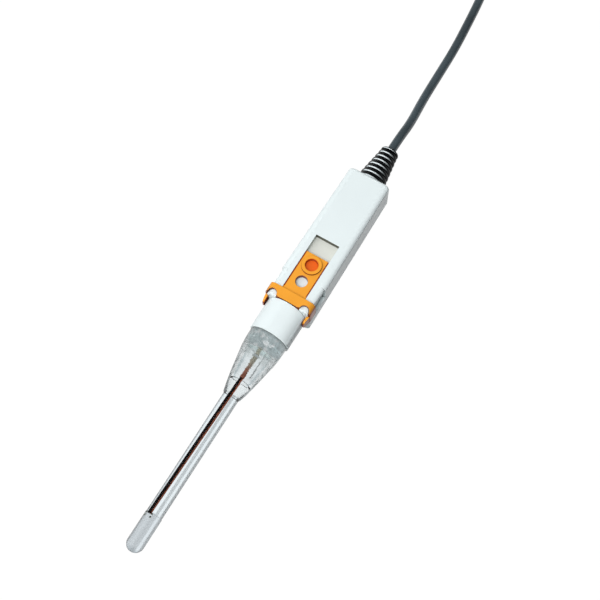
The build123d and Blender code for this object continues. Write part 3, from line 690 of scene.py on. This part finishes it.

# %% [markdown]
# ## Clear walls
# A glass tube full of liquid isn't a solid glass rod: light bends at the outer wall from air
# to glass, and again, much less, at the inner wall from glass to liquid. Each wall gets the
# index of refraction of its own step, so no liquid body is needed, and the liquid still
# magnifies the rod inside as it really does.
#
# On a white table the wall's own colour only shows where light crosses a lot of it, near the
# outline; a painted shade there darkens it much further, for the dark surroundings that the
# outline bends and mirrors. Layer Weight gives both: its Facing is 0 where the wall faces the
# eye and 1 where it turns away. Drawn glass is also faintly streaky along the tube, so the
# noise is stretched. Darker bands lie on the upper half alone: they are painted reflections,
# for what the tube mirrors.

# %% Clear walls
ACROSS = (0.979, 0.0, -0.204)
UPWARDS = (0.204, 0.0, 0.979)
TIP_FROM, TIP_TO = -112.3 * MM, -114.6 * MM
DOTS_MIDDLE = Vector((-2.3, -97.6)) * MM
DOTS_APART = Vector((1.3, 0.75)) * MM
DOT_SIZE = 0.42 * MM
BAND_WAVER = 0.03


def through_once(level):
    """A slightly blue tint for a painted band, that lets this share of the light through one wall.
    """
    return tuple(min(1, level * part) ** 2 for part in (0.965, 1.0, 1.025))


def clear_finish(
    name, index, faces_eye=WHITE, turned_away=WHITE, start=0.5, stops=None,
    stretch=(1.0, 0.06, 1.0), scale=420.0, waver=0.1, grain=0.05, haze=0.02,
    left_edge=None, mirrored_bands=None, radius=None, tip=None, dots=None,
):
    """A clear wall: index is that of the inside divided by that of the outside. Its tint near the
    outline, left_edge, the bands and the tip are painted shade and painted reflections. left_edge
    is a colour with the two values of Facing between which it comes in on the left."""
    material = bpy.data.materials.new(name)
    material.use_nodes = True
    mix = Recipe(material.node_tree)
    sockets = material.node_tree.nodes["Principled BSDF"].inputs
    place = mix.node("TexCoord", out="Object")
    stretched = mix.node("Mapping", Vector=place, Scale=stretch)
    cloud = mix.node("TexNoise", Vector=stretched, Scale=scale, Detail=3.0)
    facing = mix.node("LayerWeight", out="Facing", Blend=0.5)
    # Painted shade: the tint darkens towards the outline, where Layer Weight's Facing nears 1.
    edge = mix.node("MapRange", Value=facing + (cloud - 0.5) * waver, i1=start, i2=1.0)
    if not stops:
        halfway = tuple((a + b) / 2 for a, b in zip(faces_eye, turned_away))
        stops = [(0.0, faces_eye), (0.55, halfway), (1.0, turned_away)]
    tint = mix.node("ValToRGB", Fac=edge, stops=stops)
    outwards = vector_maths(mix, "SUBTRACT", place, (0.0, 0.0, AXIS_Z))
    across = vector_maths(mix, "DOT_PRODUCT", outwards, ACROSS)
    upper = vector_maths(mix, "DOT_PRODUCT", outwards, UPWARDS).above(0.0)
    _, along, _ = apart(mix, place)
    # Painted shade: a darker outline on the left side only.
    if left_edge:
        colour, comes_in, full = left_edge
        left_stops = [(0.0, WHITE), (comes_in, WHITE), (full, colour)]
        left_tint = mix.node("ValToRGB", Fac=facing, stops=left_stops)
        tint = blend(mix, 1 - across.above(0.0), tint, left_tint, "MULTIPLY")
    # Painted reflections: bands across the upper half of the tube, by their place across it.
    if mirrored_bands:
        share_across = across * (0.5 / (radius * MM)) + 0.5 + (cloud - 0.5) * BAND_WAVER
        bands = [(share, through_once(level)) for share, level in mirrored_bands]
        band_tint = mix.node("ValToRGB", Fac=share_across, stops=bands)
        tint = blend(mix, upper, tint, band_tint, "MULTIPLY")
    # Painted shade: the bulb darkens over its last few millimetres towards the tip.
    if tip:
        tint = blend(mix, span(mix, along, TIP_FROM, TIP_TO), tint, tip, "MULTIPLY")
    if dots:
        from_row = ((along - DOTS_MIDDLE.y).size() - DOTS_APART.y).size()
        from_column = ((across - DOTS_MIDDLE.x).size() - DOTS_APART.x).size()
        dot = (DOT_SIZE - from_row.larger(from_column)).above(0.0) * upper
        tint = blend(mix, dot, tint, dots)
    mix.plug(sockets["Base Color"], tint)
    mix.plug(sockets["Roughness"], cloud * haze)
    relief = mix.node("Bump", Height=cloud, Strength=grain, Distance=GRAIN_DEPTH)
    mix.plug(sockets["Normal"], relief)
    sockets["Transmission Weight"].default_value = 1.0
    sockets["IOR"].default_value = index
    print(name, "index", round(index, 3), "nodes", len(material.node_tree.nodes))
    return material


# %% [markdown]
# ## Glass walls
# The stem is drawn tube and the bulb is blown from it, so the bulb's glass is less even, and a
# painted shade darkens its tip. The four dark corners of the liquid junction show through the
# wall. The liquid side needs little: its step in the index is small.

# %% Glass walls
GLASS, LIQUID, ACRYLIC = 1.47, 1.36, 1.49
PALE = (0.96, 0.975, 0.985)
PAINTED_EDGE_GREY = (0.3, 0.35, 0.38)
TUBE_MIRRORED_BANDS = [
    (0.0, 0.33), (0.07, 0.5), (0.12, 0.97), (0.5, 0.97), (0.54, 0.6), (0.67, 0.63),
    (0.72, 0.95), (0.8, 0.95), (0.86, 0.4), (0.97, 0.36), (1.0, 0.5),
]
BULB_MIRRORED_BANDS = [
    (0.0, 0.3), (0.07, 0.38), (0.12, 0.66), (0.3, 0.72), (0.5, 0.6), (0.66, 0.64),
    (0.73, 0.88), (0.8, 0.86), (0.87, 0.45), (1.0, 0.42),
]
STEM_RADIUS, BULB_RADIUS = 4.0, 4.2

glass_outside = clear_finish(
    "glass_in_air", GLASS, PALE, PAINTED_EDGE_GREY, start=0.6, grain=0.02,
    mirrored_bands=TUBE_MIRRORED_BANDS, radius=STEM_RADIUS,
)
bulb_outside = clear_finish(
    "bulb_in_air", GLASS, (0.9, 0.93, 0.95), PAINTED_EDGE_GREY, start=0.3,
    stretch=(1.0, 0.2, 1.0), waver=0.2, mirrored_bands=BULB_MIRRORED_BANDS, radius=BULB_RADIUS,
    tip=(0.5, 0.54, 0.56), dots=(0.015, 0.02, 0.015),
)
glass_wetted = clear_finish(
    "glass_in_liquid", GLASS / LIQUID, (0.99, 1.0, 1.0), (0.85, 0.9, 0.93), grain=0.0, haze=0.0,
)
glass_bonded = clear_finish("glass_in_bond", 1.01)

# %% [markdown]
# ## Turned pieces
# The glass, the collar and the strain relief are all round, so each is one closed outline,
# spun about the stem's axis. Points on the axis would be spun into a pile, so doubles are
# merged, and the normals are worked out again after that. Only edges with a real corner stay
# sharp.


# %% Turning
SHARP_FROM = radians(28)


def on_axis(first, second):
    """An edge that lies along the axis isn't spun: it makes no wall."""
    return first.co.x < 1e-9 and second.co.x < 1e-9


def turn_profile(points, steps=96):
    """Spins a closed outline of (radius, station along Y), in millimetres, round the axis."""
    work = bmesh.new()
    outline = [work.verts.new((radius * MM, station * MM, AXIS_Z)) for radius, station in points]
    pairs = zip(outline, outline[1:] + outline[:1])
    edges = [work.edges.new(pair) for pair in pairs if not on_axis(*pair)]
    bmesh.ops.spin(
        work, geom=outline + edges, cent=(0, 0, AXIS_Z), axis=(0, 1, 0),
        angle=2 * pi, steps=steps, use_merge=True,
    )
    bmesh.ops.remove_doubles(work, verts=work.verts, dist=0.000001)
    bmesh.ops.recalc_face_normals(work, faces=work.faces)
    for face in work.faces:
        face.smooth = True
    for edge in work.edges:
        edge.smooth = len(edge.link_faces) != 2 or edge.calc_face_angle(0) < SHARP_FROM
    return work


def dome_points(radius, centre, count=16):
    """Outline points of a domed end that points towards -Y, from the axis outwards."""
    turns = [pi / 2 * step / count for step in range(count + 1)]
    return [(radius * sin(turn), centre - radius * cos(turn)) for turn in turns]


def distance_from_axis(face):
    """How far a face's middle lies from the stem's axis, in millimetres."""
    middle = face.calc_center_median()
    return (Vector((middle.x, 0, middle.z)) - Vector((0, 0, AXIS_Z))).length / MM


# %% [markdown]
# ## The glass electrode
# The outer tube, the bulb and the inner tube are melted together, so they are one body here
# too. The outline runs up the outer wall, down the gap with the liquid, up the inner tube,
# across its plug and down its inside into the bulb. A face's finish follows from what lies
# on its other side: air, liquid, or the bond that holds the stem in the collar.

# %% Glass electrode
TIP, BULB_TOP, FOOT, STEM_TOP = -115.0, -96.1, -32.5, -24.5
DOME_CENTRE = TIP + BULB_RADIUS
PLUG_LOW = STEM_TOP - 1.6
glass_outline = (
    dome_points(BULB_RADIUS, DOME_CENTRE)
    + [(BULB_RADIUS, BULB_TOP - 0.8), (STEM_RADIUS, BULB_TOP), (STEM_RADIUS, FOOT)]
    + [(3.7, FOOT), (3.7, STEM_TOP), (3.1, STEM_TOP), (3.1, BULB_TOP + 0.3)]
    + [(3.0, BULB_TOP), (2.9, BULB_TOP + 0.3), (2.9, STEM_TOP)]
    + [(0.0, STEM_TOP), (0.0, PLUG_LOW), (2.55, PLUG_LOW), (2.55, BULB_TOP - 0.3)]
    + [(2.8, BULB_TOP - 0.55), (3.4, BULB_TOP - 0.75), (3.65, BULB_TOP - 1.2)]
    + list(reversed(dome_points(3.65, DOME_CENTRE)))
)
IN_AIR, IN_LIQUID, IN_BOND, BULB_IN_AIR = range(4)
work = turn_profile(glass_outline)
for face in work.faces:
    middle = face.calc_center_median()
    reach = distance_from_axis(face)
    if middle.y < DOME_CENTRE * MM:
        reach = (middle - Vector((0, DOME_CENTRE * MM, AXIS_Z))).length / MM
    if middle.y > (FOOT - 0.01) * MM:
        bonded = reach > 3.2 or middle.y > (PLUG_LOW - 0.1) * MM
        face.material_index = IN_BOND if bonded else IN_LIQUID
    elif reach > 3.85:
        face.material_index = BULB_IN_AIR if middle.y < BULB_TOP * MM else IN_AIR
    else:
        face.material_index = IN_LIQUID
glass_electrode = new_piece(
    "glass_electrode", work, glass_outside, glass_wetted, glass_bonded, bulb_outside,
)
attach(glass_electrode, "body")
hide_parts("stem_tube", "sensing_bulb", "inner_tube", "inner_stopper")

# %% [markdown]
# ## The rod inside
# The inner electrode is a plain straight rod that leans a little to the left on its way
# down. A capped cylinder with smooth sides is all it needs: the glass in front of it does
# the rest.

# %% Inner rod
ROD_RADIUS = 0.64 * MM
ROD_LOW = Vector((-1.45 * MM, -97.2 * MM, AXIS_Z))
ROD_HIGH = Vector((-0.45 * MM, -22.9 * MM, AXIS_Z))

rod_line = ROD_HIGH - ROD_LOW
rod_turn = rod_line.to_track_quat("Z", "Y").to_matrix().to_4x4()
work = bmesh.new()
bmesh.ops.create_cone(
    work, cap_ends=True, segments=32, radius1=ROD_RADIUS, radius2=ROD_RADIUS,
    depth=rod_line.length, matrix=Matrix.Translation((ROD_LOW + ROD_HIGH) / 2) @ rod_turn,
)
for face in work.faces:
    face.smooth = len(face.verts) == 4
for edge in work.edges:
    edge.smooth = edge.calc_face_angle(0) < SHARP_FROM
inner_rod = new_piece("inner_rod", work, dark_red)
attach(inner_rod, "body")
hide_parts("measuring_electrode")

# %% [markdown]
# ## Clear plastic walls
# The collar is cast from clear plastic. Painted shade darkens it towards its outline, and more
# on its left, for the dark surroundings that its thick walls bend and mirror. Its inner wall
# has the liquid's small step in the index. Where it is glued over the chamber's neck, the glue
# leaves a mottled wall.

# %% Clear plastic walls
PAINTED_EDGE_BLACK = (0.0, 0.002, 0.002)
clear_outside = clear_finish(
    "clear_plastic_in_air", ACRYLIC, (0.8, 0.84, 0.85), (0.05, 0.07, 0.07),
    start=0.05, stretch=(1.0, 0.7, 1.0), scale=480.0, waver=0.9, grain=0.6,
    left_edge=(PAINTED_EDGE_BLACK, 0.66, 0.86),
)
clear_wetted = clear_finish(
    "clear_plastic_in_liquid", ACRYLIC / LIQUID,
    stops=[
        (0.0, (0.93, 0.95, 0.96)), (0.3, (0.55, 0.62, 0.64)), (0.5, (0.8, 0.85, 0.87)),
        (0.62, WHITE),
    ],
    start=0.3, stretch=(1.0, 0.5, 1.0), scale=300.0, waver=0.3, grain=0.3,
)
clear_bonded = clear_finish("clear_plastic_in_bond", 1.01)
clear_foot = clear_finish(
    "clear_plastic_foot", ACRYLIC, (0.86, 0.89, 0.9), (0.3, 0.33, 0.36),
    start=0.3, stretch=(1.0, 0.3, 1.0), waver=0.4, grain=0.3,
    left_edge=(PAINTED_EDGE_BLACK, 0.42, 0.72),
)
clear_mottled = clear_finish(
    "clear_plastic_mottled", 1.1, (0.9, 0.93, 0.93), (0.4, 0.44, 0.44),
    start=0.0, stretch=(1.0, 1.0, 1.0), scale=600.0, waver=1.6, grain=1.0, haze=0.8,
)

# %% [markdown]
# ## The clear collar
# The collar tapers from the handle's neck to the stem. The outline runs down its outside,
# up the hole that the stem is bonded in, up the cavity with the liquid and round the seat of
# the chamber's neck.

# %% Clear collar
SEAT_RADIUS, SEAT_LOW, CONE_LOW = 7.55, -7.8, -12.0
FOOT_RING = -23.8
collar_outline = [
    (SEAT_RADIUS, 0.0), (9.2, 0.0), (9.5, -0.2), (9.6, -0.6), (9.5, -4.8), (9.1, -9.5),
    (8.2, -14.3), (7.4, -19.0), (6.9, -21.9), (6.5, FOOT_RING), (5.45, -28.6), (4.55, -32.2),
    (4.3, FOOT), (3.75, FOOT), (3.75, STEM_TOP), (3.1, STEM_TOP), (3.1, -24.0), (3.2, -23.9),
    (3.35, -23.55), (3.6, -22.8), (3.75, -21.5), (4.41, CONE_LOW), (4.7, SEAT_LOW),
    (SEAT_RADIUS, SEAT_LOW),
]
OUTSIDE, WETTED, BONDED, AT_FOOT, MOTTLED = range(5)
work = turn_profile(collar_outline)
for face in work.faces:
    reach = distance_from_axis(face)
    station = face.calc_center_median().y / MM
    on_seat_wall = abs(reach - SEAT_RADIUS) < 0.05
    on_seat_floor = abs(station - SEAT_LOW) < 0.1 and reach < SEAT_RADIUS + 0.05
    if reach < 3.8 and station < STEM_TOP:
        face.material_index = BONDED
    elif on_seat_wall or on_seat_floor:
        face.material_index = MOTTLED
    elif reach < 4.8 and station > STEM_TOP:
        face.material_index = MOTTLED if station > CONE_LOW else WETTED
    else:
        face.material_index = AT_FOOT if station < FOOT_RING else OUTSIDE
clear_collar = new_piece(
    "clear_collar_piece", work,
    clear_outside, clear_wetted, clear_bonded, clear_foot, clear_mottled,
)
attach(clear_collar, "body")
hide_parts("clear_collar")

# %% [markdown]
# ## Light on the clear pieces
# A soft box mirrored in a thin glass wall would lie as a grey veil over the rod behind it.
# Light linking leaves the clear pieces out of both lamps: they still bend and mirror the
# table and the sky.

# %% Light linking
clear_pieces = bpy.data.collections.new("clear_pieces")
for piece in (glass_electrode, clear_collar):
    clear_pieces.objects.link(piece)
for member in clear_pieces.collection_objects:
    member.light_linking.link_state = "EXCLUDE"
for lamp in (key_box, top_box):
    lamp.light_linking.receiver_collection = clear_pieces

# %% [markdown]
# ## Strain relief
# The rubber cone is one turned outline. Each rib is half an ellipse, so it rolls from facing
# the handle to facing the lead, and a painted highlight on its side towards the handle gives
# the thin bright ring on each rib.
# A flange at its root holds it in the handle, and its bore fits the cable.

# %% Strain relief
RELIEF_START, RIBS = 94.0, 7
RIBS_END = RELIEF_END - 1.6
BASE_RADIUS, END_RADIUS, RIB_DEPTH = 7.6, 4.7, 0.8
BORE_RADIUS = 2.35
ROOT_START = 90.7
rib_pitch = (RIBS_END - RELIEF_START) / RIBS


def rib_points(rib):
    """Outline points of one rib: half an ellipse on the cone."""
    points = []
    for step in range(-8, 9):
        offset = step / 8
        station = RELIEF_START + rib_pitch * (rib + 0.5 + 0.48 * offset)
        taper = (BASE_RADIUS - END_RADIUS) * (station - RELIEF_START) / (rib_pitch * RIBS)
        sunk = RIB_DEPTH * (1 - (1 - offset * offset * 0.98) ** 0.5)
        points.append((BASE_RADIUS - taper - sunk, station))
    return points


root_points = [
    (BORE_RADIUS, ROOT_START), (6.8, ROOT_START), (6.8, 92.5), (5.2, 92.5), (5.2, RELIEF_START),
]
end_points = [
    (END_RADIUS - 0.05, RELIEF_END - 1.3), (END_RADIUS, RELIEF_END - 0.9),
    (END_RADIUS - 0.25, RELIEF_END - 0.3), (END_RADIUS - 0.8, RELIEF_END),
    (BORE_RADIUS, RELIEF_END),
]
relief_outline = root_points + [point for rib in range(RIBS) for point in rib_points(rib)]
ribbed_relief = new_piece("ribbed_relief", turn_profile(relief_outline + end_points), ridged_rubber)
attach(ribbed_relief, "body")
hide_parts("strain_relief")

# %% [markdown]
# ## Picture settings
# The Standard view transform shows a colour as it is written.

# %% Finish
scene.view_settings.view_transform = "Standard"
